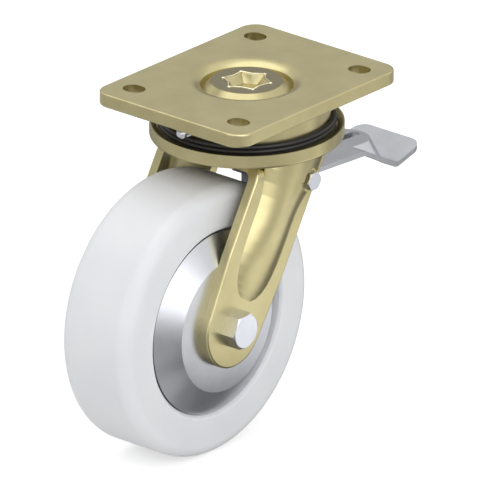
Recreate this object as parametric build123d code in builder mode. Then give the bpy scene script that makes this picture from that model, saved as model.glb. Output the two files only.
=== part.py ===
from build123d import *
import os
from math import cos, radians, sin, sqrt, tan

# Heavy duty swivel castor with a wheel brake, in millimetres.
# Origin: centre of the top plate's upper face. +Z runs up the swivel axis, +X along the
# wheel's axle, and the wheel trails towards -Y with the brake pedal towards +Y.

# Driving sizes of the whole castor
wheel_r = 80.0
wheel_width = 50.0
wheel_gap = 1.9
trail = 54.0

# Top plate with its pressed seat for the kingpin head
plate_x = 110.0
plate_y = 140.0
plate_t = 8.0
plate_corner_r = 10.5
plate_edge_r = 1.0
slot_width = 11.0
slot_length = 13.5
slot_spacing_x = 77.5
slot_spacing_y = 105.0
seat_shoulder_w = 7.2
seat_wall_w = 0.5
seat_wall_z = -3.0
seat_depth = 6.0
seat_sheet_t = 7.0
seat_clear = 2.2
seat_under_taper = 15.0

# Kingpin, its star shaped staking recess and its nut
kingpin_r = 10.0
kingpin_gap = 0.1
kingpin_top_z = -0.7
kingpin_head_slope = 5.6
kingpin_end_chamfer = 1.0
star_rim_share = 0.647
star_valley_share = 0.74
star_floor_share = 0.6
star_floor_valley_share = 0.88
star_chamfer = 0.7
star_chamfer_depth = 0.5
star_bottom_wall = 0.4
star_turn = 24.0
kingpin_nut_af = 30.0
kingpin_nut_h = 9.0
kingpin_end = 1.5

# Swivel bearing: two rows of balls, one above and one below the swivel head
head_r = 55.3
race_ring_set = 7.6
race_ring_chamfer = 1.0
race_ring_bottom_z = -23.5
upper_ball_r = 4.0
race_wall_outer = 2.7
race_wall_inner = 1.8
upper_ball_z = -25.4
upper_ball_count = 16
lower_ball_r = 3.0
lower_wall = 2.5
lower_hub_w = 8.0
lower_ball_z = -27.6
lower_ball_count = 12
race_gap = 0.1
seat_gap = 0.03
head_rim_w = 0.8
head_rim_z = -24.8
head_slope_w = 4.1
head_floor_z = -26.8
head_bottom_z = -33.0
head_edge_r = 1.5
head_dish_w = 4.5
head_hub_z = -20.0
head_hub_under_z = -26.0
head_under_set = 1.5
lower_race_neck_h = 2.0
lower_race_top_z = -29.2
lower_race_bottom_z = -32.6

# Rubber seal round the swivel bearing
seal_top_z = -20.0
seal_w = 2.9
seal_groove = 0.8
seal_lip_w = 0.9
seal_gap = 0.3

# Grease nipple in the race ring, facing the wheel
nipple_z = -15.7
nipple_af = 6.5
nipple_hex_l = 4.0
nipple_head_l = 7.3
nipple_head_r = 3.2
nipple_neck_r = 1.7
nipple_tip_r = 1.6
nipple_shank_r = 2.5
nipple_shank_l = 8.0

# Fork: one bent sheet with a round crown and two slanted legs
fork_t = 6.0
fork_inner_x = 31.5
fork_outer_x = fork_inner_x + fork_t
fork_bend_r = 4.0
crown_top_z = head_bottom_z
crown_bottom_z = crown_top_z - fork_t
crown_w = 6.0
leg_lean = 30.6
leg_half_w = 26.3
leg_taper_s = 36.0
leg_end_r = 23.8
leg_edge_r = 1.2
leg_root_w = 9.0
bulge_h = 5.6
bulge_half_w = 17.5
bulge_root_half_w = 23.5
bulge_root_w = 15.7
bulge_shift = 0.4
bulge_sink = 1.0
bulge_tip_s = 15.8
bulge_full_s = 68.0
bulge_nose_steps = 9
bulge_nose_spacing = 1.7
bulge_nose_bluntness = 4.0
bulge_nose_rise = 2.2
bulge_flare_steps = 3

# Wheel: one nylon casting with a ball bearing pressed into each side
tread_corner_r = 8.0
rim_flat_r = 56.6
rim_chamfer = 2.5
rim_lip = 2.1
rim_draft = 2.5
web_half = 12.0
hub_r = 32.0
hub_draft = 2.0
hub_half = 29.0
web_fillet = 4.0
bearing_bore_r = 10.0
bearing_r = 23.5
bearing_w = 14.0
bearing_ball_r = 4.0
bearing_pitch_r = 16.9
bearing_ball_count = 8
bearing_groove_wall = 3.0
hub_shoulder_r = 19.5
running_gap = 0.1

# Axle bolt, sleeve and thread guards
axle_r = 6.0
axle_gap = 0.1
axle_af = 19.0
axle_head_h = 8.4
axle_nut_h = 10.0
axle_washer_r = 12.0
axle_washer_t = 2.5
axle_end = 2.0
hex_chamfer_angle = 30.0
axle_hex_turn = 3.0
guard_t = 1.5
guard_gap = 0.4
guard_cone_w = 15.0
guard_rim_x = 23.4

# Brake pivot across the fork
pivot_y = 7.5
pivot_z = -53.0
pivot_r = 3.0
pivot_gap = 0.06
pivot_af = 10.0
pivot_head_h = 4.3
pivot_nut_h = 5.0
pivot_end = 1.5
pivot_pad_r = 7.0
pivot_pad_x = 40.0
pivot_pad_t = 6.0
spacer_r = 5.5
pivot_washer_r = 6.5
pivot_washer_t = 1.0
lug_half = 13.0
lug_t = 3.0
lug_r = 8.0

# Brake lever: one pressed sheet, from the pivot lugs to the foot pedal
lever_t = 3.0
lever_half = 23.5
arm_front_y = 2.4
neck_end_y = 17.0
neck_wide_y = 31.0
arm_z = -56.57
arm_fall = 3.3
ramp_top_y = 76.0
valley_y = 103.4
valley_z = -76.6
pedal_end_y = 126.5
pedal_rise = 14.6
pedal_corner_r = 8.0
fold_r = 6.0
tongue_half = 14.0
tongue_h = 15.0
tongue_start_y = 32.4
tongue_end_y = 100.0
tongue_flare = 30.0
lever_slot_w = 5.5
lever_slot_start_y = 45.0
lever_slot_end_y = 97.0

# Brake shoe riveted under the lever
shoe_half = 10.0
shoe_t = 3.0
shoe_gap = 3.5
shoe_front_y = 6.8
shoe_back_y = 22.0
shoe_foot_angle = 58.0
rivet_y = 16.5
rivet_x = 5.5
rivet_r = 2.0
rivet_head_r = 3.6
rivet_head_h = 1.6
rivet_head_taper = 30.0
rivet_gap = 0.05

# Swivel bearing, seat and crown, each ring from the one outside it
race_ring_r = head_r - race_ring_set
upper_pitch_r = race_ring_r - race_wall_outer - upper_ball_r
race_ring_inner_r = upper_pitch_r - upper_ball_r - race_wall_inner
head_slope_r = head_r - head_slope_w
head_step_r = upper_pitch_r - head_dish_w
head_hub_r = head_step_r - head_dish_w
lower_pitch_r = head_hub_r - lower_hub_w
head_bore_r = lower_pitch_r - lower_hub_w
lower_race_r = lower_pitch_r + lower_ball_r + lower_wall
lower_race_neck_r = (kingpin_r + head_bore_r) / 2
crown_bore_r = lower_race_r + head_under_set
crown_r = crown_bore_r + crown_w
seal_inner_r = race_ring_r + seal_gap
seal_outer_r = seal_inner_r + seal_w
seal_groove_r = seal_outer_r - seal_groove
seat_under_r = race_ring_inner_r - seat_clear
seat_floor_r = seat_under_r - seat_sheet_t
seat_wall_r = seat_floor_r + seat_wall_w
seat_shoulder_r = seat_wall_r + seat_shoulder_w
kingpin_head_r = seat_floor_r - kingpin_head_slope
star_point_r = star_rim_share * kingpin_head_r

# Heights: the stack under the plate and the wheel give the castor's total height
kingpin_nut_bottom_z = lower_race_bottom_z - kingpin_nut_h
kingpin_end_z = kingpin_nut_bottom_z - kingpin_end
total_height = 2 * wheel_r + wheel_gap - kingpin_end_z
axle_y = -trail
axle_z = wheel_r - total_height

# Wheel rim and thread guards
rim_inner_r = rim_flat_r - rim_lip
web_rim_r = rim_inner_r - rim_draft
hub_root_r = hub_r + hub_draft
guard_rim_r = rim_inner_r - guard_gap
guard_disc_r = guard_rim_r - guard_cone_w

# Other values worked out from the sizes above
cos_lean = cos(radians(leg_lean))
sin_lean = sin(radians(leg_lean))
wheel_half = wheel_width / 2
guard_inner_x = fork_inner_x - guard_t
bearing_x = guard_inner_x - bearing_w / 2
pivot_pad_inner_x = pivot_pad_x - pivot_pad_t
leg_plane = Plane(
    origin=(fork_inner_x, axle_y, axle_z),
    x_dir=(0, cos_lean, -sin_lean),
    z_dir=(1, 0, 0),
)


def arm_top(y):
    """Height of the brake arm's upper face at y."""
    return arm_z - y * tan(radians(arm_fall))


def pedal_top(y):
    """Height of the pedal's upper face at y."""
    return valley_z + (y - valley_y) * tan(radians(pedal_rise))


def wheel_point(radius, angle):
    """A point of a circle about the axle, as (y, z), at an angle from straight up."""
    return (axle_y + radius * sin(radians(angle)), axle_z + radius * cos(radians(angle)))


def axle_plane(x):
    """Plane across the axle at x, facing +X."""
    return Plane(origin=(x, axle_y, axle_z), x_dir=(0, 1, 0), z_dir=(1, 0, 0))


def pivot_plane(x):
    """Plane across the brake pivot at x, facing +X."""
    return Plane(origin=(x, pivot_y, pivot_z), x_dir=(0, 1, 0), z_dir=(1, 0, 0))


def hex_body(plane, across_flats, height, turn=0.0):
    """Bolt head or nut standing on a plane, with the corners of its outer face chamfered."""
    with BuildPart() as body:
        with BuildSketch(plane):
            RegularPolygon(across_flats / 2, 6, major_radius=False, rotation=turn)
        extrude(amount=height)
        with BuildSketch(plane.offset(height)):
            Circle(across_flats / 2)
        extrude(amount=-height, taper=hex_chamfer_angle - 90, mode=Mode.INTERSECT)
    return body.part


def rivet_plane(side):
    """Plane of one shoe rivet on the arm's upper face, square to the sloping arm."""
    fall = radians(arm_fall)
    return Plane(
        origin=(side * rivet_x, rivet_y, arm_top(rivet_y)),
        x_dir=(1, 0, 0),
        z_dir=(0, sin(fall), cos(fall)),
    )


os.makedirs("parts", exist_ok=True)


# Top plate: flat plate, four slots and the round pressed seat of the kingpin
with BuildPart() as top_plate:
    with BuildSketch(Plane.XY.offset(-plate_t)):
        RectangleRounded(plate_x, plate_y, plate_corner_r)
    extrude(amount=plate_t)
    fillet(top_plate.faces().sort_by(Axis.Z)[-1].edges(), plate_edge_r)
    fillet(top_plate.faces().sort_by(Axis.Z)[0].edges(), plate_edge_r)
    with BuildSketch(Plane.XY.offset(-plate_t)):
        Circle(seat_under_r)
    extrude(amount=-seat_depth, taper=seat_under_taper)
    with BuildSketch(Plane.XZ):
        with BuildLine():
            Line((0, 1), (seat_shoulder_r, 1))
            Line((seat_shoulder_r, 1), (seat_shoulder_r, 0))
            TangentArc((seat_shoulder_r, 0), (seat_wall_r, seat_wall_z), tangent=(-1, 0))
            Line((seat_wall_r, seat_wall_z), (seat_floor_r, -seat_depth))
            Line((seat_floor_r, -seat_depth), (0, -seat_depth))
            Line((0, -seat_depth), (0, 1))
        make_face()
    revolve(axis=Axis.Z, mode=Mode.SUBTRACT)
    with BuildSketch(Plane.XY.offset(1)):
        with GridLocations(slot_spacing_x, slot_spacing_y, 2, 2):
            SlotOverall(slot_length, slot_width)
        Circle(kingpin_r + kingpin_gap)
    extrude(amount=-plate_t - seat_depth - 2, mode=Mode.SUBTRACT)
top_plate.part.label = "top_plate"
export_step(top_plate.part, "parts/top_plate.step")


# Race ring: welded under the plate, with the upper ball groove in its lower face
with BuildPart() as race_ring:
    with BuildSketch(Plane.XZ):
        with BuildLine():
            Polyline(
                (race_ring_inner_r, -plate_t),
                (race_ring_r, -plate_t),
                (race_ring_r, race_ring_bottom_z + race_ring_chamfer),
                (race_ring_r - race_ring_chamfer, race_ring_bottom_z),
                (race_ring_inner_r, race_ring_bottom_z),
                close=True,
            )
        make_face()
        with Locations((upper_pitch_r, upper_ball_z)):
            Circle(upper_ball_r + race_gap, mode=Mode.SUBTRACT)
    revolve(axis=Axis.Z)
    with BuildSketch(Plane(origin=(0, 0, nipple_z), z_dir=(0, -1, 0))):
        Circle(nipple_shank_r)
    extrude(amount=head_r, mode=Mode.SUBTRACT)
race_ring.part.label = "race_ring"
export_step(race_ring.part, "parts/race_ring.step")


# Kingpin: conical head with a star shaped staking recess, and a plain shank
star_valley_r = star_valley_share * star_point_r
star_floor_point_r = star_floor_share * star_point_r
star_floor_valley_r = star_floor_valley_share * star_floor_point_r
star_floor_z = -seat_depth + star_bottom_wall


def star_outline(level, point_r, valley_r):
    """Six pointed star on a level plane, with its points and valleys at two radii."""
    corners = []
    for step in range(12):
        radius = point_r if step % 2 == 0 else valley_r
        turn = radians(star_turn + 30 * step)
        corners.append((radius * cos(turn), radius * sin(turn)))
    with BuildSketch(Plane.XY.offset(level)) as outline:
        with BuildLine():
            Polyline(*corners, close=True)
        make_face()
    return outline.sketch


with BuildPart() as kingpin:
    with BuildSketch(Plane.XZ):
        with BuildLine():
            Polyline(
                (0, kingpin_top_z),
                (kingpin_head_r, kingpin_top_z),
                (seat_floor_r - kingpin_gap, -seat_depth),
                (kingpin_r, -seat_depth),
                (kingpin_r, kingpin_end_z + kingpin_end_chamfer),
                (kingpin_r - kingpin_end_chamfer, kingpin_end_z),
                (0, kingpin_end_z),
                close=True,
            )
        make_face()
    revolve(axis=Axis.Z)
    star_rim = star_outline(
        kingpin_top_z, star_point_r + star_chamfer, star_valley_r + star_chamfer
    )
    star_neck = star_outline(kingpin_top_z - star_chamfer_depth, star_point_r, star_valley_r)
    star_floor = star_outline(star_floor_z, star_floor_point_r, star_floor_valley_r)
    loft([star_rim, star_neck], ruled=True, mode=Mode.SUBTRACT)
    loft([star_neck, star_floor], ruled=True, mode=Mode.SUBTRACT)
kingpin.part.label = "kingpin"
export_step(kingpin.part, "parts/kingpin.step")


# Lower race: dished ring clamped by the kingpin nut, with the lower ball groove on top
with BuildPart() as lower_race:
    with BuildSketch(Plane.XZ):
        with BuildLine():
            Polyline(
                (kingpin_r + kingpin_gap, head_hub_under_z + lower_race_neck_h),
                (lower_race_neck_r, head_hub_under_z + lower_race_neck_h),
                (lower_race_neck_r, lower_race_top_z),
                (lower_race_r, lower_race_top_z),
                (lower_race_r, lower_race_bottom_z),
                (kingpin_r + kingpin_gap, lower_race_bottom_z),
                close=True,
            )
        make_face()
        with Locations((lower_pitch_r, lower_ball_z)):
            Circle(lower_ball_r + race_gap, mode=Mode.SUBTRACT)
    revolve(axis=Axis.Z)
lower_race.part.label = "lower_race"
export_step(lower_race.part, "parts/lower_race.step")


# Kingpin nut
with BuildPart() as kingpin_nut:
    add(hex_body(Plane.XY.offset(lower_race_bottom_z), kingpin_nut_af, -kingpin_nut_h))
    with BuildSketch(Plane.XY.offset(lower_race_bottom_z)):
        Circle(kingpin_r + kingpin_gap)
    extrude(amount=-kingpin_nut_h, mode=Mode.SUBTRACT)
kingpin_nut.part.label = "kingpin_nut"
export_step(kingpin_nut.part, "parts/kingpin_nut.step")


# Grease nipple: hexagon, neck and round head, screwed into the race ring
nipple_base_y = -race_ring_r
nipple_plane = Plane(origin=(0, nipple_base_y, nipple_z), x_dir=(1, 0, 0), z_dir=(0, -1, 0))
with BuildPart() as grease_nipple:
    with BuildSketch(nipple_plane):
        RegularPolygon(nipple_af / 2, 6, major_radius=False, rotation=30)
    extrude(amount=nipple_hex_l)
    with BuildSketch(Plane.YZ):
        with BuildLine():
            hex_y = nipple_base_y - nipple_hex_l
            tip_y = hex_y - nipple_head_l
            Polyline(
                (hex_y, nipple_z),
                (hex_y, nipple_z + nipple_shank_r),
                (hex_y - 0.35 * nipple_head_l, nipple_z + nipple_neck_r),
                (hex_y - 0.5 * nipple_head_l, nipple_z + nipple_head_r),
                (hex_y - 0.75 * nipple_head_l, nipple_z + nipple_head_r),
                (tip_y, nipple_z + nipple_tip_r),
                (tip_y, nipple_z),
                close=True,
            )
        make_face()
    revolve(axis=Axis((0, 0, nipple_z), (0, 1, 0)))
    with BuildSketch(nipple_plane):
        Circle(nipple_shank_r - seat_gap)
    extrude(amount=-nipple_shank_l)
grease_nipple.part.label = "grease_nipple"
export_step(grease_nipple.part, "parts/grease_nipple.step")


# Swivel head: turned dish with a ball groove on each side, welded on the fork's crown
with BuildPart() as swivel_head:
    with BuildSketch(Plane.XZ):
        with BuildLine():
            Polyline(
                (head_r, head_rim_z),
                (head_r - head_rim_w, head_rim_z),
                (head_slope_r, head_floor_z),
                (head_step_r, head_floor_z),
                (head_hub_r, head_hub_z),
                (head_bore_r, head_hub_z),
                (head_bore_r, head_hub_under_z),
                (lower_race_r + head_under_set / 2, head_hub_under_z),
                (crown_bore_r, head_bottom_z),
                (head_r, head_bottom_z),
                close=True,
            )
        make_face()
        with Locations((upper_pitch_r, upper_ball_z)):
            Circle(upper_ball_r + seat_gap, mode=Mode.SUBTRACT)
        with Locations((lower_pitch_r, lower_ball_z)):
            Circle(lower_ball_r + seat_gap, mode=Mode.SUBTRACT)
    revolve(axis=Axis.Z)
    bottom_rings = swivel_head.edges().filter_by(GeomType.CIRCLE).group_by(Axis.Z)[0]
    fillet(bottom_rings.sort_by(SortBy.RADIUS)[-1], head_edge_r)
swivel_head.part.label = "swivel_head"
export_step(swivel_head.part, "parts/swivel_head.step")


# Two rows of swivel balls
with BuildPart() as upper_balls:
    with Locations((0, 0, upper_ball_z)):
        with PolarLocations(upper_pitch_r, upper_ball_count):
            Sphere(upper_ball_r)
upper_balls.part.label = "upper_balls"
export_step(upper_balls.part, "parts/upper_balls.step")

with BuildPart() as lower_balls:
    with Locations((0, 0, lower_ball_z)):
        with PolarLocations(lower_pitch_r, lower_ball_count):
            Sphere(lower_ball_r)
lower_balls.part.label = "lower_balls"
export_step(lower_balls.part, "parts/lower_balls.step")


# Seal ring: two soft ribs that close the gap between the plate and the swivel head
with BuildPart() as seal_ring:
    with BuildSketch(Plane.XZ):
        with BuildLine():
            rib_step = (seal_top_z - head_floor_z) / 4
            Line((seal_inner_r, head_floor_z), (seal_groove_r, head_floor_z))
            foot = (seal_groove_r, head_floor_z + rib_step * 0.6)
            Line((seal_groove_r, head_floor_z), foot)
            middle = (seal_groove_r, head_floor_z + rib_step * 2.2)
            ThreePointArc(foot, (seal_outer_r, (foot[1] + middle[1]) / 2), middle)
            lip = (seal_inner_r + seal_lip_w, seal_top_z)
            upper_rib = (seal_outer_r - seal_groove / 4, middle[1] + 0.9 * rib_step)
            ThreePointArc(middle, upper_rib, lip)
            Line(lip, (seal_inner_r, seal_top_z))
            Line((seal_inner_r, seal_top_z), (seal_inner_r, head_floor_z))
        make_face()
    revolve(axis=Axis.Z)
seal_ring.part.label = "seal_ring"
export_step(seal_ring.part, "parts/seal_ring.step")


# Fork, one half first: crown and one leg bent from one sheet, then mirrored
leg_top_s = (crown_top_z - axle_z) / cos_lean + leg_half_w
leg_crown_y = axle_y + (crown_bottom_z - axle_z) * sin_lean / cos_lean
leg_flat_x = fork_outer_x - leg_root_w
bulge_root_s = (crown_top_z - axle_z) / cos_lean - bulge_root_w
fork_reach = total_height / 2


def bulge_section(along, half_width, height):
    """Arched section across the leg's bulge, at a distance up the leg from the axle."""
    middle = leg_plane.from_local_coords((bulge_shift, along, fork_t))
    across = Plane(origin=middle, x_dir=leg_plane.x_dir, z_dir=-leg_plane.y_dir)
    with BuildSketch(across) as section:
        with BuildLine():
            ThreePointArc((-half_width, 0), (0, height), (half_width, 0))
            Line((half_width, 0), (half_width, -bulge_sink))
            Line((half_width, -bulge_sink), (-half_width, -bulge_sink))
            Line((-half_width, -bulge_sink), (-half_width, 0))
        make_face()
    return section.sketch


with BuildPart() as bulge:
    sections = []
    for step in range(1, bulge_nose_steps + 1):
        share = (step / bulge_nose_steps) ** bulge_nose_spacing
        along = bulge_tip_s + share * (bulge_full_s - bulge_tip_s)
        half_width = bulge_half_w * sqrt(1 - (1 - share) ** bulge_nose_bluntness)
        height = bulge_h * (1 - (1 - share) ** bulge_nose_rise)
        sections.append(bulge_section(along, half_width, height))
    for step in range(1, bulge_flare_steps + 1):
        share = step / bulge_flare_steps
        along = bulge_full_s + share * (bulge_root_s - bulge_full_s)
        half_width = bulge_half_w + share**2 * (bulge_root_half_w - bulge_half_w)
        sections.append(bulge_section(along, half_width, bulge_h))
    sections.append(bulge_section(leg_top_s, bulge_root_half_w, bulge_h))
    loft(sections, ruled=True)

with BuildPart() as hollow:
    add(bulge.part.moved(Location((-fork_t, 0, 0))))
    with BuildSketch(Plane.XY.offset(crown_bottom_z)):
        Rectangle(4 * fork_reach, 4 * fork_reach)
    extrude(amount=fork_reach, mode=Mode.SUBTRACT)

with BuildPart() as fork:
    with BuildSketch(Plane.XZ.offset(fork_reach)):
        with BuildLine():
            outer_r = fork_bend_r + fork_t
            Line((0, crown_top_z), (fork_outer_x - outer_r, crown_top_z))
            top_bend = (fork_outer_x, crown_top_z - outer_r)
            TangentArc((fork_outer_x - outer_r, crown_top_z), top_bend, tangent=(1, 0))
            Line(top_bend, (fork_outer_x, axle_z - wheel_r))
            Line((fork_outer_x, axle_z - wheel_r), (fork_inner_x, axle_z - wheel_r))
            inner_bend = (fork_inner_x, crown_bottom_z - fork_bend_r)
            Line((fork_inner_x, axle_z - wheel_r), inner_bend)
            TangentArc(inner_bend, (fork_inner_x - fork_bend_r, crown_bottom_z), tangent=(0, 1))
            Line((fork_inner_x - fork_bend_r, crown_bottom_z), (0, crown_bottom_z))
            Line((0, crown_bottom_z), (0, crown_top_z))
        make_face()
    extrude(amount=-2 * fork_reach)
    with BuildSketch(leg_plane):
        Circle(leg_end_r)
        with Locations((0, (leg_taper_s + leg_top_s) / 2)):
            Rectangle(2 * leg_half_w, leg_top_s - leg_taper_s)
        make_hull()
    extrude(amount=fork_reach, both=True, mode=Mode.INTERSECT)
    with BuildSketch(Plane.XY.offset(crown_bottom_z - fork_bend_r)):
        Rectangle(2 * leg_flat_x, 2 * fork_reach)
    extrude(amount=2 * fork_t, mode=Mode.SUBTRACT)
    with BuildSketch(Plane.XY.offset(crown_bottom_z)):
        Circle(crown_r)
        with Locations((leg_flat_x / 2, leg_crown_y)):
            Rectangle(leg_flat_x, 2 * leg_half_w / cos_lean)
        with Locations((-fork_reach, 0)):
            Rectangle(2 * fork_reach, 2 * fork_reach, mode=Mode.SUBTRACT)
    extrude(amount=fork_t)
    outer_face = fork.faces().filter_by(Axis.X).sort_by(Axis.X)[-1]
    leg_edges = outer_face.edges().filter_by(lambda e: e.center().Z < crown_bottom_z - leg_edge_r)
    fillet(leg_edges, leg_edge_r)
    add(bulge.part)
    with BuildSketch(Plane.XY.offset(crown_top_z)):
        Rectangle(4 * fork_reach, 4 * fork_reach)
    extrude(amount=fork_reach, mode=Mode.SUBTRACT)
    add(hollow.part, mode=Mode.SUBTRACT)
    with BuildSketch(pivot_plane(fork_inner_x)):
        Circle(pivot_pad_r)
    extrude(amount=pivot_pad_inner_x - fork_inner_x, mode=Mode.SUBTRACT)
    with BuildSketch(pivot_plane(pivot_pad_inner_x)):
        Circle(pivot_pad_r)
    extrude(amount=pivot_pad_t)
    with BuildSketch(pivot_plane(pivot_pad_x)):
        Circle(pivot_pad_r)
    extrude(amount=fork_reach, mode=Mode.SUBTRACT)
    with BuildSketch(pivot_plane(fork_inner_x)):
        Circle(pivot_r + pivot_gap)
    extrude(amount=fork_reach, mode=Mode.SUBTRACT)
    with BuildSketch(axle_plane(fork_inner_x)):
        Circle(axle_r + axle_gap)
    extrude(amount=fork_t, mode=Mode.SUBTRACT)
    mirror(about=Plane.YZ)
    with BuildSketch(Plane.XY.offset(crown_bottom_z)):
        Circle(crown_bore_r)
    extrude(amount=fork_t, mode=Mode.SUBTRACT)
fork.part.label = "fork"
export_step(fork.part, "parts/fork.step")


# Wheel: solid nylon casting turned about the axle, with a seat for a bearing each side
turning_plane = Plane(origin=(0, axle_y, axle_z), x_dir=(1, 0, 0), z_dir=(0, -1, 0))
axle_line = Axis((0, axle_y, axle_z), (1, 0, 0))
bearing_inner_x = bearing_x - bearing_w / 2
bearing_outer_x = bearing_x + bearing_w / 2

with BuildPart() as wheel:
    with BuildSketch(turning_plane):
        with BuildLine():
            Polyline(
                (0, hub_shoulder_r),
                (bearing_inner_x, hub_shoulder_r),
                (bearing_inner_x, bearing_r),
                (hub_half, bearing_r),
                (hub_half, hub_r),
                (web_half, hub_root_r),
                (web_half, web_rim_r),
                (wheel_half - rim_chamfer, rim_inner_r),
                (wheel_half, rim_flat_r),
                (wheel_half, wheel_r),
                (0, wheel_r),
                close=True,
            )
        make_face()
        mirror(about=Plane.YZ)
    revolve(axis=axle_line)
    rings = wheel.edges().filter_by(GeomType.CIRCLE)
    fillet(rings.filter_by(lambda e: abs(e.radius - wheel_r) < 0.01), tread_corner_r)
    rings = wheel.edges().filter_by(GeomType.CIRCLE)
    web_rings = rings.filter_by(lambda e: abs(abs(e.center().X) - web_half) < 0.01)
    fillet(web_rings, web_fillet)
wheel.part.label = "wheel"
export_step(wheel.part, "parts/wheel.step")


# Wheel bearings, left and right: inner ring, outer ring and balls
groove_inner_r = bearing_pitch_r - bearing_groove_wall
groove_outer_r = bearing_pitch_r + bearing_groove_wall
for side, name in ((1, "right"), (-1, "left")):
    ring_sizes = (
        ("inner", bearing_bore_r, groove_inner_r, seat_gap),
        ("outer", groove_outer_r, bearing_r, running_gap),
    )
    for ring, small_r, large_r, gap in ring_sizes:
        with BuildPart() as bearing_ring:
            with BuildSketch(turning_plane):
                with Locations((side * bearing_x, (small_r + large_r) / 2)):
                    Rectangle(bearing_w, large_r - small_r)
                with Locations((side * bearing_x, bearing_pitch_r)):
                    Circle(bearing_ball_r + gap, mode=Mode.SUBTRACT)
            revolve(axis=axle_line)
        bearing_ring.part.label = f"bearing_{ring}_{name}"
        export_step(bearing_ring.part, f"parts/bearing_{ring}_{name}.step")

    with BuildPart() as bearing_balls:
        with Locations(axle_plane(side * bearing_x)):
            with PolarLocations(bearing_pitch_r, bearing_ball_count):
                Sphere(bearing_ball_r)
    bearing_balls.part.label = f"bearing_balls_{name}"
    export_step(bearing_balls.part, f"parts/bearing_balls_{name}.step")

    # Thread guard: pressed cup with a flat centre, held between leg and bearing
    cone_turn = (fork_inner_x - guard_rim_x) / (guard_rim_r - guard_disc_r)
    inner_step = guard_t * (sqrt(1 + cone_turn**2) - 1) / cone_turn
    cone_run = guard_t / sqrt(1 + cone_turn**2)
    with BuildPart() as thread_guard:
        with BuildSketch(turning_plane):
            with BuildLine():
                Polyline(
                    (side * fork_inner_x, axle_r + axle_gap),
                    (side * fork_inner_x, guard_disc_r),
                    (side * guard_rim_x, guard_rim_r),
                    (side * (guard_rim_x - cone_run), guard_rim_r - cone_run * cone_turn),
                    (side * guard_inner_x, guard_disc_r - inner_step),
                    (side * guard_inner_x, axle_r + axle_gap),
                    close=True,
                )
            make_face()
        revolve(axis=axle_line)
    thread_guard.part.label = f"thread_guard_{name}"
    export_step(thread_guard.part, f"parts/thread_guard_{name}.step")


# Axle: bolt, washer, nut and the sleeve that the bearings sit on
axle_head_x = fork_outer_x
washer_x = -fork_outer_x
nut_x = washer_x - axle_washer_t
bolt_end_x = nut_x - axle_nut_h - axle_end

with BuildPart() as axle_bolt:
    add(hex_body(axle_plane(axle_head_x), axle_af, axle_head_h, axle_hex_turn))
    with BuildSketch(axle_plane(axle_head_x)):
        Circle(axle_r)
    extrude(amount=bolt_end_x - axle_head_x)
axle_bolt.part.label = "axle_bolt"
export_step(axle_bolt.part, "parts/axle_bolt.step")

with BuildPart() as axle_washer:
    with BuildSketch(axle_plane(washer_x)):
        Circle(axle_washer_r)
        Circle(axle_r + axle_gap, mode=Mode.SUBTRACT)
    extrude(amount=-axle_washer_t)
axle_washer.part.label = "axle_washer"
export_step(axle_washer.part, "parts/axle_washer.step")

with BuildPart() as axle_nut:
    add(hex_body(axle_plane(nut_x), axle_af, -axle_nut_h))
    with BuildSketch(axle_plane(nut_x)):
        Circle(axle_r + axle_gap)
    extrude(amount=-axle_nut_h, mode=Mode.SUBTRACT)
axle_nut.part.label = "axle_nut"
export_step(axle_nut.part, "parts/axle_nut.step")

with BuildPart() as axle_sleeve:
    with BuildSketch(axle_plane(-guard_inner_x)):
        Circle(bearing_bore_r)
        Circle(axle_r + axle_gap, mode=Mode.SUBTRACT)
    extrude(amount=2 * guard_inner_x)
axle_sleeve.part.label = "axle_sleeve"
export_step(axle_sleeve.part, "parts/axle_sleeve.step")


# Brake pivot: bolt through both legs, nut, two spacer tubes and two friction washers
pivot_nut_x = -pivot_pad_x
washer_inner_x = lug_half + running_gap
spacer_inner_x = washer_inner_x + pivot_washer_t

with BuildPart() as brake_pivot_bolt:
    add(hex_body(pivot_plane(pivot_pad_x), pivot_af, pivot_head_h))
    with BuildSketch(pivot_plane(pivot_pad_x)):
        Circle(pivot_r)
    extrude(amount=pivot_nut_x - pivot_nut_h - pivot_end - pivot_pad_x)
brake_pivot_bolt.part.label = "brake_pivot_bolt"
export_step(brake_pivot_bolt.part, "parts/brake_pivot_bolt.step")

with BuildPart() as brake_pivot_nut:
    add(hex_body(pivot_plane(pivot_nut_x), pivot_af, -pivot_nut_h))
    with BuildSketch(pivot_plane(pivot_nut_x)):
        Circle(pivot_r + pivot_gap)
    extrude(amount=-pivot_nut_h, mode=Mode.SUBTRACT)
brake_pivot_nut.part.label = "brake_pivot_nut"
export_step(brake_pivot_nut.part, "parts/brake_pivot_nut.step")

with BuildPart() as pivot_spacers:
    with BuildSketch(pivot_plane(spacer_inner_x)):
        Circle(spacer_r)
        Circle(pivot_r + pivot_gap, mode=Mode.SUBTRACT)
    extrude(amount=pivot_pad_inner_x - spacer_inner_x)
    mirror(about=Plane.YZ)
pivot_spacers.part.label = "pivot_spacers"
export_step(pivot_spacers.part, "parts/pivot_spacers.step")

with BuildPart() as pivot_washers:
    with BuildSketch(pivot_plane(washer_inner_x)):
        Circle(pivot_washer_r)
        Circle(pivot_r + pivot_gap, mode=Mode.SUBTRACT)
    extrude(amount=pivot_washer_t)
    mirror(about=Plane.YZ)
pivot_washers.part.label = "pivot_washers"
export_step(pivot_washers.part, "parts/pivot_washers.step")


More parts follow.
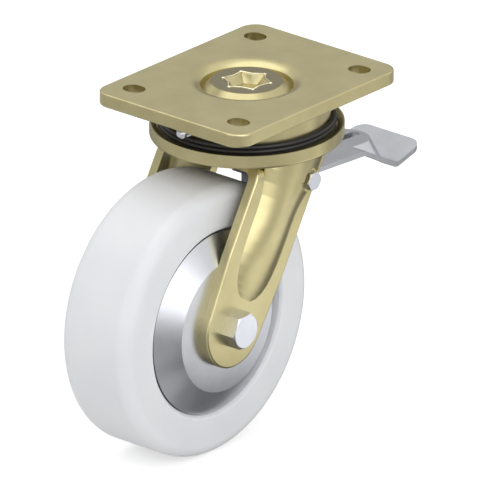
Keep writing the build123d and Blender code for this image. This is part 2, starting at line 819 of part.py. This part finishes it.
# Brake lever: the pressed form is a solid minus itself lowered by the sheet's thickness
press_floor_z = 2 * valley_z
with BuildPart() as lever_form:
    with BuildSketch(Plane.YZ.offset(-lever_half)):
        with BuildLine():
            Polyline(
                (arm_front_y, press_floor_z),
                (arm_front_y, arm_top(arm_front_y)),
                (ramp_top_y, arm_top(ramp_top_y)),
                (valley_y, valley_z),
                (pedal_end_y, pedal_top(pedal_end_y)),
                (pedal_end_y, press_floor_z),
                close=True,
            )
        make_face()
    extrude(amount=2 * lever_half)
    folds = lever_form.edges().filter_by(Axis.X).filter_by(
        lambda e: ramp_top_y - 1 < e.center().Y < valley_y + 1
    )
    fillet(folds, fold_r)
    arm_plane = Plane(
        origin=(0, 0, arm_z),
        x_dir=(1, 0, 0),
        z_dir=(0, sin(radians(arm_fall)), cos(radians(arm_fall))),
    )
    tongue_tip = tongue_end_y / cos(radians(arm_fall)) - tongue_half
    with BuildSketch(arm_plane):
        with Locations((0, tongue_tip)):
            Circle(tongue_half)
        with Locations((0, (tongue_tip + tongue_start_y) / 2)):
            Rectangle(2 * tongue_half, tongue_tip - tongue_start_y)
    extrude(amount=-tongue_h, taper=-tongue_flare)

lowered_form = lever_form.part.moved(Location((0, 0, -lever_t)))
with BuildPart() as brake_lever:
    add(lever_form.part)
    add(lowered_form, mode=Mode.SUBTRACT)
    with BuildSketch(Plane.XY):
        with BuildLine():
            Polyline(
                (0, arm_front_y),
                (lug_half, arm_front_y),
                (lug_half, neck_end_y),
                (lever_half, neck_wide_y),
                (lever_half, pedal_end_y),
                (0, pedal_end_y),
            )
            Line((0, pedal_end_y), (0, arm_front_y))
        make_face()
        mirror(about=Plane.YZ)
        rounded = vertices().filter_by(lambda v: v.Y > neck_wide_y + 1 and abs(v.X) > 1)
        fillet(rounded, pedal_corner_r)
        neck = vertices().filter_by(lambda v: neck_end_y - 1 < v.Y < neck_wide_y + 1)
        fillet(neck, lug_r)
        slot_l = lever_slot_end_y - lever_slot_start_y
        with Locations((0, lever_slot_start_y + slot_l / 2)):
            SlotOverall(slot_l, lever_slot_w, rotation=90, mode=Mode.SUBTRACT)
    extrude(amount=press_floor_z, mode=Mode.INTERSECT)
    with BuildSketch(Plane.YZ.offset(lug_half - lug_t)):
        with Locations((pivot_y, pivot_z)):
            Circle(lug_r)
        with BuildLine():
            Polyline(
                (pivot_y - lug_r, pivot_z),
                (arm_front_y, arm_top(arm_front_y) - lever_t),
                (neck_end_y, arm_top(neck_end_y) - lever_t),
                (neck_end_y, arm_top(neck_end_y)),
                (pivot_y + lug_r, pivot_z),
                close=True,
            )
        make_face()
        with Locations((pivot_y, pivot_z)):
            Circle(pivot_r + pivot_gap, mode=Mode.SUBTRACT)
    lug = extrude(amount=lug_t)
    mirror(lug, about=Plane.YZ)
    for side in (1, -1):
        with BuildSketch(rivet_plane(side)):
            Circle(rivet_r + rivet_gap)
        extrude(amount=-lever_t - 2 * shoe_t, mode=Mode.SUBTRACT)
brake_lever.part.label = "brake_lever"
export_step(brake_lever.part, "parts/brake_lever.step")


# Brake shoe: bent bracket under the lever, with a foot that follows the tread
def arm_under(y):
    """Height of the brake arm's lower face at y."""
    return arm_top(y) - lever_t


def tread_height(radius, y):
    """Height of the upper half of a circle about the axle at y."""
    return axle_z + sqrt(radius**2 - (y - axle_y) ** 2)


foot_inner_r = wheel_r + shoe_gap
foot_outer_r = foot_inner_r + shoe_t
web_back_y = shoe_front_y + shoe_t
with BuildPart() as brake_shoe:
    with BuildSketch(Plane.YZ.offset(-shoe_half)):
        with BuildLine():
            foot_front = (shoe_front_y, tread_height(foot_inner_r, shoe_front_y))
            foot_back = (web_back_y, tread_height(foot_outer_r, web_back_y))
            tip_inner = wheel_point(foot_inner_r, shoe_foot_angle)
            tip_outer = wheel_point(foot_outer_r, shoe_foot_angle)
            Polyline(
                foot_front,
                (shoe_front_y, arm_under(shoe_front_y)),
                (shoe_back_y, arm_under(shoe_back_y)),
                (shoe_back_y, arm_under(shoe_back_y) - shoe_t),
                (web_back_y, arm_under(web_back_y) - shoe_t),
                foot_back,
            )
            RadiusArc(foot_back, tip_outer, foot_outer_r)
            Line(tip_outer, tip_inner)
            RadiusArc(tip_inner, foot_front, -foot_inner_r)
        make_face()
    extrude(amount=2 * shoe_half)
    for side in (1, -1):
        with BuildSketch(rivet_plane(side)):
            Circle(rivet_r + rivet_gap)
        extrude(amount=-lever_t - 2 * shoe_t, mode=Mode.SUBTRACT)
brake_shoe.part.label = "brake_shoe"
export_step(brake_shoe.part, "parts/brake_shoe.step")


# Two rivets through the arm and the shoe's flange, square to the sloping arm
with BuildPart() as shoe_rivets:
    for side in (1, -1):
        with BuildSketch(rivet_plane(side).offset(-lever_t - shoe_t)):
            Circle(rivet_r)
        extrude(amount=lever_t + shoe_t)
        for level, way in ((0, 1), (-lever_t - shoe_t, -1)):
            with BuildSketch(rivet_plane(side).offset(level)):
                Circle(rivet_head_r)
            extrude(amount=way * rivet_head_h, taper=rivet_head_taper)
shoe_rivets.part.label = "shoe_rivets"
export_step(shoe_rivets.part, "parts/shoe_rivets.step")
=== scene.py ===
import math

import bmesh
import bpy
from mathutils import Matrix, Vector


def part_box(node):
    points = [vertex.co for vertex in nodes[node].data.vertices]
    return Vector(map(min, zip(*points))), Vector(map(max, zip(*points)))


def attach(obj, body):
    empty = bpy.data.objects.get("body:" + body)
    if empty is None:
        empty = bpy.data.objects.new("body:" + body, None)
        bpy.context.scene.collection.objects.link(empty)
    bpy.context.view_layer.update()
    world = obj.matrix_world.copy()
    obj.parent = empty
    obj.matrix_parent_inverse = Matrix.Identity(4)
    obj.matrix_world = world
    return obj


# Looks of a heavy duty swivel castor. Metres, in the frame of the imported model: the origin is
# the centre of the top plate's upper face, +Z up, +X along the axle, +Y towards the pedal.

MM = 0.001

# Sockets of a Mix node in colour mode: its two colours and its result
MIX_A = 6
MIX_B = 7
MIX_RESULT = 2

# Widths of the patterns in millimetres. The real grain of plating, nylon and rubber is far
# finer and would not show, so each grain is drawn as coarse as it needs to be seen.
PLATING_CLOUD = 22
NYLON_CLOUD = 30
NYLON_GRAIN = 1.2
RUBBER_GRAIN = 0.8
# How far the plating's roughness drifts to each side, and the depth that a bump stands for
ROUGHNESS_DRIFT = 0.02
BUMP_DEPTH = 0.1 * MM

# Stage: the floor's side in metres, its own glow, and the light that the world gives
FLOOR_SIDE = 6.0
FLOOR_GLOW = 0.45
WORLD_LIGHT = 0.7

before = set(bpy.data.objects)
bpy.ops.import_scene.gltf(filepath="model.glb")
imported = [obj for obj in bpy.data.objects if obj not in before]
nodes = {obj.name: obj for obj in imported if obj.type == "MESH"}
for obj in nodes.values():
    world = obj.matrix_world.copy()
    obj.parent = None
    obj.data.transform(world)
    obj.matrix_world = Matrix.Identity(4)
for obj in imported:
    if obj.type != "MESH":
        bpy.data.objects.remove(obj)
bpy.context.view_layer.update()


def linear(hex_colour):
    """Linear RGBA of an sRGB hex colour such as "C8BE8C"."""
    channels = []
    for start in (0, 2, 4):
        value = int(hex_colour[start:start + 2], 16) / 255
        dark = value / 12.92
        channels.append(dark if value <= 0.04045 else ((value + 0.055) / 1.055) ** 2.4)
    return (*channels, 1.0)


def add_node(tree, kind, inputs=None, **settings):
    """Adds a node to a tree, with its settings, and values or links for its inputs."""
    node = tree.nodes.new(kind)
    for name, value in settings.items():
        setattr(node, name, value)
    for name, value in (inputs or {}).items():
        if isinstance(value, bpy.types.NodeSocket):
            tree.links.new(value, node.inputs[name])
        else:
            node.inputs[name].default_value = value
    return node


def find_node(tree, kind):
    """The first node of a kind that a tree already has."""
    return next(node for node in tree.nodes if node.type == kind)


def new_material(name):
    """A fresh material: its node tree, its surface shader and the Object coordinates."""
    material = bpy.data.materials.new(name)
    material.use_nodes = True
    tree = material.node_tree
    shader = find_node(tree, "BSDF_PRINCIPLED")
    place = add_node(tree, "ShaderNodeTexCoord").outputs["Object"]
    return material, tree, shader, place


def cells_per_metre(size_mm):
    """Texture scale that makes one cell this many millimetres wide."""
    return 1 / (size_mm * MM)


def plated_steel(name, deep, pale, roughness, grain_mm, grain_bump):
    """Zinc plated, passivated steel: a metal skin with soft clouds and a plated grain."""
    material, tree, shader, place = new_material(name)
    clouds = add_node(tree, "ShaderNodeTexNoise",
                      {"Vector": place, "Scale": cells_per_metre(PLATING_CLOUD),
                       "Detail": 3.0, "Roughness": 0.55})
    drift = add_node(tree, "ShaderNodeMapRange",
                     {"Value": clouds.outputs["Fac"], "From Min": 0.35, "From Max": 0.65})
    colour = add_node(tree, "ShaderNodeMix",
                      {0: drift.outputs["Result"], MIX_A: linear(deep), MIX_B: linear(pale)},
                      data_type="RGBA")
    grain = add_node(tree, "ShaderNodeTexNoise",
                     {"Vector": place, "Scale": cells_per_metre(grain_mm), "Detail": 2.0})
    rough = add_node(tree, "ShaderNodeMapRange",
                     {"Value": grain.outputs["Fac"], "From Min": 0.3, "From Max": 0.7,
                      "To Min": roughness - ROUGHNESS_DRIFT,
                      "To Max": roughness + ROUGHNESS_DRIFT})
    bump = add_node(tree, "ShaderNodeBump",
                    {"Height": grain.outputs["Fac"], "Strength": grain_bump,
                     "Distance": BUMP_DEPTH})
    tree.links.new(colour.outputs[MIX_RESULT], shader.inputs["Base Color"])
    tree.links.new(rough.outputs["Result"], shader.inputs["Roughness"])
    tree.links.new(bump.outputs["Normal"], shader.inputs["Normal"])
    shader.inputs["Metallic"].default_value = 1.0
    return material


def cast_nylon():
    """Cast polyamide: white and a little translucent, with faint clouds and a fine grain."""
    material, tree, shader, place = new_material("cast_white_nylon")
    clouds = add_node(tree, "ShaderNodeTexNoise",
                      {"Vector": place, "Scale": cells_per_metre(NYLON_CLOUD), "Detail": 3.0})
    drift = add_node(tree, "ShaderNodeMapRange",
                     {"Value": clouds.outputs["Fac"], "From Min": 0.3, "From Max": 0.7})
    colour = add_node(tree, "ShaderNodeMix",
                      {0: drift.outputs["Result"],
                       MIX_A: linear("E6E7EA"), MIX_B: linear("EAEBED")},
                      data_type="RGBA")
    grain = add_node(tree, "ShaderNodeTexNoise",
                     {"Vector": place, "Scale": cells_per_metre(NYLON_GRAIN), "Detail": 2.0})
    bump = add_node(tree, "ShaderNodeBump",
                    {"Height": grain.outputs["Fac"], "Strength": 0.08, "Distance": BUMP_DEPTH})
    tree.links.new(colour.outputs[MIX_RESULT], shader.inputs["Base Color"])
    tree.links.new(bump.outputs["Normal"], shader.inputs["Normal"])
    shader.inputs["Roughness"].default_value = 0.42
    shader.inputs["IOR"].default_value = 1.53
    shader.inputs["Subsurface Weight"].default_value = 1.0
    shader.inputs["Subsurface Radius"].default_value = (1.0, 1.0, 1.0)
    shader.inputs["Subsurface Scale"].default_value = 2.5 * MM
    return material


def moulded_rubber():
    """Black seal rubber: near black, with a soft moulded sheen."""
    material, tree, shader, place = new_material("moulded_black_rubber")
    grain = add_node(tree, "ShaderNodeTexNoise",
                     {"Vector": place, "Scale": cells_per_metre(RUBBER_GRAIN), "Detail": 2.0})
    bump = add_node(tree, "ShaderNodeBump",
                    {"Height": grain.outputs["Fac"], "Strength": 0.15, "Distance": BUMP_DEPTH})
    drift = add_node(tree, "ShaderNodeMapRange",
                     {"Value": grain.outputs["Fac"], "From Min": 0.3, "From Max": 0.7})
    colour = add_node(tree, "ShaderNodeMix",
                      {0: drift.outputs["Result"],
                       MIX_A: linear("141211"), MIX_B: linear("1E1C1B")},
                      data_type="RGBA")
    tree.links.new(colour.outputs[MIX_RESULT], shader.inputs["Base Color"])
    tree.links.new(bump.outputs["Normal"], shader.inputs["Normal"])
    shader.inputs["Roughness"].default_value = 0.45
    shader.inputs["IOR"].default_value = 1.52
    return material


def punched_pin_top(material, dark, top_mm):
    """Darkens the flat top of the pin, where the staking punch has rubbed the plating."""
    tree = material.node_tree
    shader = find_node(tree, "BSDF_PRINCIPLED")
    place = find_node(tree, "TEX_COORD").outputs["Object"]
    plating = shader.inputs["Base Color"].links[0].from_socket
    height = add_node(tree, "ShaderNodeSeparateXYZ", {"Vector": place}).outputs["Z"]
    flat = add_node(tree, "ShaderNodeMapRange",
                    {"Value": height, "From Min": (top_mm - 0.1) * MM,
                     "From Max": (top_mm + 0.1) * MM})
    rubbed = add_node(tree, "ShaderNodeMix",
                      {0: flat.outputs["Result"], MIX_A: plating, MIX_B: linear(dark)},
                      data_type="RGBA")
    tree.links.new(rubbed.outputs[MIX_RESULT], shader.inputs["Base Color"])


# Barrel plated zinc with a yellow chromate passivation: a warm straw grey metal, half matt,
# so lights and floor show in it as broad soft bands and never as sharp pictures
yellow_zinc = plated_steel("yellow_passivated_zinc", "C2B88A", "CCC294", 0.31, 0.9, 0.02)
# The same plating on the turned and staked pin: a little duller, darkest on its punched top
pin_zinc = plated_steel("staked_yellow_passivated_zinc", "B8AE82", "C2B88C", 0.31, 0.9, 0.02)
punched_pin_top(pin_zinc, "90886A", -0.9)
# Pale straw zinc for the raised burr round the star: its paleness is a painted highlight, so the
# burr catches every light
painted_highlight_zinc = plated_steel("yellow_zinc_painted_highlight", "F0EAC4", "F6F2D2", 0.22, 0.9, 0.02)
# Pressed sheet with a clear passivation: a neutral silver metal with a satin gleam
clear_zinc = plated_steel("clear_passivated_zinc", "C6C8CD", "CFD1D6", 0.31, 0.9, 0.005)
# Bolts, nuts and nipple, bright plated: the palest metal, almost white
bright_zinc = plated_steel("bright_bolt_zinc", "D8DAE2", "E2E4EB", 0.31, 0.7, 0.01)
# Hardened bearing steel, ground: a darker grey with a smooth gleam
ground_steel = plated_steel("ground_bearing_steel", "9C9CA0", "A8A8AC", 0.31, 0.5, 0.02)
# Cast polyamide, turned on its tread: milky white, with soft edges where light goes in
white_nylon = cast_nylon()
# Moulded nitrile rubber: near black, with a dull sheen
black_rubber = moulded_rubber()

FINISHES = (
    (yellow_zinc, ("top_plate", "race_ring", "swivel_head", "fork")),
    (pin_zinc, ("kingpin",)),
    (clear_zinc, ("thread_guard_right", "thread_guard_left", "brake_lever", "brake_shoe",
                  "shoe_rivets", "kingpin_nut", "pivot_spacers", "pivot_washers")),
    (bright_zinc, ("axle_bolt", "axle_nut", "axle_washer", "brake_pivot_bolt",
                   "brake_pivot_nut", "grease_nipple")),
    (ground_steel, ("lower_race", "upper_balls", "lower_balls", "axle_sleeve",
                    "bearing_inner_right", "bearing_inner_left", "bearing_outer_right",
                    "bearing_outer_left", "bearing_balls_right", "bearing_balls_left")),
    (white_nylon, ("wheel",)),
    (black_rubber, ("seal_ring",)),
)

for finish, names in FINISHES:
    for name in names:
        piece = nodes[name]
        piece.data.materials.clear()
        piece.data.materials.append(finish)


# Burr of the staked pin: the star and its six points are the source's, in millimetres
PIN_TOP = -0.7
PIN_HEAD_SLOPE = 5.5
STAR_TURN = 24
STAR_CORNERS = 12
STAR_POINT_SHARE = 0.647
STAR_VALLEY_SHARE = 0.74
STAR_CHAMFER = 0.7
BURR_WIDTH = 0.7
BURR_HEIGHT = 0.35
BURR_SUNK = 0.15
BURR_ROUND = 0.3
TIP_RADIUS = 1.2
TIP_FLATNESS = 0.45


def star_corner(step, point_r, valley_r):
    """One corner of the six pointed star on the pin: even steps are points, odd ones valleys."""
    radius = point_r if step % 2 == 0 else valley_r
    turn = math.radians(STAR_TURN + 360 / STAR_CORNERS * step)
    return Vector((radius * math.cos(turn), radius * math.sin(turn), 0.0))


def point_place(point):
    """Where a point is, in rounded millimetres that sort the same way in each run."""
    return tuple(round(value, 4) for value in point.co)


def face_place(face):
    """Where the middle of a face is, rounded like a point's place."""
    return tuple(round(value, 4) for value in face.calc_center_median())


def staking_burr():
    """The fine burr that the punch raised round the star, rounded at each point, and painted pale
    as a highlight.
    """
    head_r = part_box("kingpin")[1].x / MM - PIN_HEAD_SLOPE
    point_r = STAR_POINT_SHARE * head_r
    valley_r = STAR_VALLEY_SHARE * point_r
    edge = STAR_CHAMFER + BURR_WIDTH
    build = bmesh.new()
    corners = [build.verts.new(star_corner(step, point_r + edge, valley_r + edge))
               for step in range(STAR_CORNERS)]
    star = build.faces.new(corners)
    build.normal_update()
    bmesh.ops.inset_region(build, faces=[star], thickness=BURR_WIDTH, use_boundary=True,
                           use_even_offset=True)
    bmesh.ops.delete(build, geom=[star], context="FACES_ONLY")
    grown = bmesh.ops.extrude_face_region(build, geom=list(build.faces), use_keep_orig=True)
    raised = [part for part in grown["geom"] if isinstance(part, bmesh.types.BMVert)]
    bmesh.ops.translate(build, verts=raised, vec=(0, 0, BURR_HEIGHT + BURR_SUNK))
    build.normal_update()
    top_edges = [line for line in build.edges
                 if all(end.co.z > BURR_HEIGHT for end in line.verts)
                 and len(line.link_faces) == 2
                 and any(abs(side.normal.z) < 0.5 for side in line.link_faces)]
    bmesh.ops.bevel(build, geom=top_edges, offset=BURR_ROUND, affect="EDGES", segments=3,
                    profile=0.5, material=-1)
    for step in range(0, STAR_CORNERS, 2):
        middle = star_corner(step, point_r + STAR_CHAMFER, valley_r)
        middle.z = BURR_SUNK
        squashed = Matrix.Translation(middle) @ Matrix.Diagonal((1, 1, TIP_FLATNESS, 1))
        bmesh.ops.create_uvsphere(build, u_segments=16, v_segments=8, radius=TIP_RADIUS,
                                  matrix=squashed)
    bmesh.ops.recalc_face_normals(build, faces=build.faces)
    for face in build.faces:
        face.smooth = True
    bmesh.ops.translate(build, verts=build.verts, vec=(0, 0, PIN_TOP - BURR_SUNK))
    # The bmesh tools leave points and faces in another order each run, so they are sorted
    for place_in_row, point in enumerate(sorted(build.verts, key=point_place)):
        point.index = place_in_row
    for place_in_row, face in enumerate(sorted(build.faces, key=face_place)):
        face.index = place_in_row
    build.verts.sort()
    build.faces.sort()
    bmesh.ops.scale(build, verts=build.verts, vec=(MM, MM, MM))
    mesh = bpy.data.meshes.new("staking_burr")
    build.to_mesh(mesh)
    build.free()
    burr = bpy.data.objects.new("staking_burr", mesh)
    bpy.context.scene.collection.objects.link(burr)
    # The burr's pale zinc is a painted highlight on the star's rim
    burr.data.materials.append(painted_highlight_zinc)
    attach(burr, "mounting")


staking_burr()


# Stage: white floor under the wheel, white all round for the camera and for the metal
def white_for_seeing(tree, plain, output):
    """Shows plain white to camera, glossy and see-through rays, and a plain shader to the rest."""
    path = add_node(tree, "ShaderNodeLightPath")
    seen = add_node(tree, "ShaderNodeMath", {0: path.outputs["Is Camera Ray"],
                                             1: path.outputs["Is Glossy Ray"]}, operation="ADD")
    either = add_node(tree, "ShaderNodeMath", {0: seen.outputs[0],
                                               1: path.outputs["Is Transmission Ray"]},
                      operation="ADD", use_clamp=True)
    mix = add_node(tree, "ShaderNodeMixShader", {"Fac": either.outputs[0], 1: plain})
    tree.links.new(mix.outputs["Shader"], output.inputs["Surface"])
    return mix


def flat_panel(name, place, width, height, facing):
    """A flat studio panel at a place, turned to face a point."""
    mesh = bpy.data.meshes.new(name)
    build = bmesh.new()
    bmesh.ops.create_grid(build, x_segments=1, y_segments=1, size=0.5)
    bmesh.ops.scale(build, verts=build.verts, vec=(width, height, 1))
    turn = (Vector(facing) - Vector(place)).to_track_quat("Z", "Y").to_matrix().to_4x4()
    bmesh.ops.transform(build, verts=build.verts, matrix=Matrix.Translation(place) @ turn)
    build.to_mesh(mesh)
    build.free()
    panel = bpy.data.objects.new(name, mesh)
    bpy.context.scene.collection.objects.link(panel)
    return panel


OBJECT_MIDDLE = Vector((0.0, 0.0, -0.1))
floor_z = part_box("wheel")[0].z
floor = flat_panel("floor", (0, 0, floor_z), FLOOR_SIDE, FLOOR_SIDE, (0, 0, 1))
floor_paint, floor_tree, floor_shader, _ = new_material("white_floor_paint")
floor_shader.inputs["Base Color"].default_value = linear("E6E6E6")
floor_shader.inputs["Roughness"].default_value = 0.9
floor_glow = add_node(floor_tree, "ShaderNodeEmission", {"Strength": FLOOR_GLOW})
floor_sum = add_node(floor_tree, "ShaderNodeAddShader")
floor_tree.links.new(floor_shader.outputs["BSDF"], floor_sum.inputs[0])
floor_tree.links.new(floor_glow.outputs["Emission"], floor_sum.inputs[1])
floor_out = find_node(floor_tree, "OUTPUT_MATERIAL")
floor_mix = white_for_seeing(floor_tree, floor_shader.outputs["BSDF"], floor_out)
floor_tree.links.new(floor_sum.outputs["Shader"], floor_mix.inputs[2])
floor.data.materials.append(floor_paint)

world = bpy.data.worlds.new("studio")
bpy.context.scene.world = world
world.use_nodes = True
sky = world.node_tree
sky_out = find_node(sky, "OUTPUT_WORLD")
sky_light = find_node(sky, "BACKGROUND")
sky_light.inputs["Color"].default_value = (1, 1, 1, 1)
sky_light.inputs["Strength"].default_value = WORLD_LIGHT
sky_white = add_node(sky, "ShaderNodeBackground",
                     {"Color": (1, 1, 1, 1), "Strength": 1.0})
sky_mix = white_for_seeing(sky, sky_light.outputs["Background"], sky_out)
sky.links.new(sky_white.outputs["Background"], sky_mix.inputs[2])


def gloss_card(name, place, width, height, facing, shade, strength=1.0):
    """A studio card that only the gloss of the metal sees, for its dark sides and highlights."""
    card = flat_panel(name, place, width, height, facing)
    paint = bpy.data.materials.new(name + "_paint")
    paint.use_nodes = True
    tree = paint.node_tree
    glow = add_node(tree, "ShaderNodeEmission", {"Color": linear(shade), "Strength": strength})
    out = find_node(tree, "OUTPUT_MATERIAL")
    tree.links.new(glow.outputs["Emission"], out.inputs["Surface"])
    card.data.materials.append(paint)
    card.visible_camera = False
    card.visible_diffuse = False
    card.visible_transmission = False
    card.visible_shadow = False


def above(place):
    """The point one metre above a place."""
    return (place[0], place[1], place[2] + 1)


# Cards that lie 1 to 3 mm over the floor, where a higher layer covers a lower one
for name, place, width, height, layer, shade, strength in (
    ("floor_card", (0.0, 0.0), 4.0, 4.0, 1, "C8C8C8", 1.0),
    ("right_floor_card", (0.235, 0.16), 0.25, 0.28, 2, "FFFFFF", 1.2),
    ("right_front_floor_card", (0.27, -0.12), 0.14, 0.24, 2, "909090", 1.0),
    ("under_card", (-0.17, 0.195), 0.53, 0.51, 3, "646464", 1.0),
    ("nose_card", (0.15, -0.05), 0.1, 0.12, 3, "646464", 1.0),
    ("guard_foot_card", (0.04, -0.03), 0.12, 0.1, 3, "888888", 1.0),
    ("lever_edge_card", (0.225, 0.36), 0.10, 0.19, 3, "404040", 1.0),
    ("back_right_floor_card", (0.35, 0.37), 0.14, 0.22, 2, "FFFFFF", 1.1),
):
    spot = (place[0], place[1], floor_z + layer * MM)
    gloss_card(name, spot, width, height, above(spot), shade, strength)
# Cards that stand behind and beside the castor, or hang above it
gloss_card("back_wall_card", (-0.77, 0.92, 0.025), 2.2, 0.45, (0, 0, 0.025), "606060")
gloss_card("back_sky_card", (-0.77, 0.92, 0.765), 2.2, 1.03, (0, 0, 0.765), "DADADA")
gloss_card("front_left_card", (-0.9, -0.8, 0.45), 1.2, 1.2, OBJECT_MIDDLE, "C0C0C0")
gloss_card("side_card", (1.2, -0.05, 0.08), 0.65, 0.5, (0, -0.05, 0.08), "FFFFFF", 2.4)
gloss_card("top_card", (0.1, -0.25, 1.2), 1.2, 1.2, OBJECT_MIDDLE, "FFFFFF", 1.8)


def softbox(name, place, size, power):
    """A square studio lamp at a place, turned to the middle of the castor."""
    lamp = bpy.data.lights.new(name, "AREA")
    lamp.shape = "SQUARE"
    lamp.size = size
    lamp.energy = power
    holder = bpy.data.objects.new(name, lamp)
    bpy.context.scene.collection.objects.link(holder)
    holder.location = place
    aim = OBJECT_MIDDLE - Vector(place)
    holder.rotation_euler = aim.to_track_quat("-Z", "Y").to_euler()


softbox("key_lamp", (1.2, -0.6, 0.7), 0.9, 5.5)
softbox("top_lamp", (-0.5, -0.3, 1.3), 1.2, 4.5)
softbox("front_lamp", (-0.35, -1.25, 0.3), 0.9, 0.8)


# Camera: the photograph's angle, about 41 degrees round to the right and 22 degrees up, from
# so far off that lines stay parallel. AIM is seen at AIM_PIXEL of the photograph.
AZIMUTH = math.radians(40.6)
ELEVATION = math.radians(22.28)
PIXELS_PER_MM = 1.772
AIM = Vector((0.0192, -0.0280, -0.0837))
AIM_PIXEL = (240.45, 238.95)
FRAME_PIXELS = 480
LENS = 1500.0
SENSOR = 36.0

frame_width = FRAME_PIXELS / PIXELS_PER_MM * MM
back = Vector((math.sin(AZIMUTH) * math.cos(ELEVATION),
               -math.cos(AZIMUTH) * math.cos(ELEVATION),
               math.sin(ELEVATION)))
right = Vector((math.cos(AZIMUTH), math.sin(AZIMUTH), 0.0))
up = back.cross(right)
slide_right = (FRAME_PIXELS / 2 - AIM_PIXEL[0]) / PIXELS_PER_MM * MM
slide_up = (AIM_PIXEL[1] - FRAME_PIXELS / 2) / PIXELS_PER_MM * MM
camera_data = bpy.data.cameras.new("camera")
camera_data.lens = LENS
camera_data.sensor_width = SENSOR
camera_data.clip_end = 100.0
camera = bpy.data.objects.new("camera", camera_data)
bpy.context.scene.collection.objects.link(camera)
distance = frame_width * LENS / SENSOR
camera.location = AIM + right * slide_right + up * slide_up + back * distance
camera.rotation_euler = (-back).to_track_quat("-Z", "Y").to_euler()
bpy.context.scene.camera = camera
bpy.context.scene.view_settings.view_transform = "Standard"

bpy.context.view_layer.update()
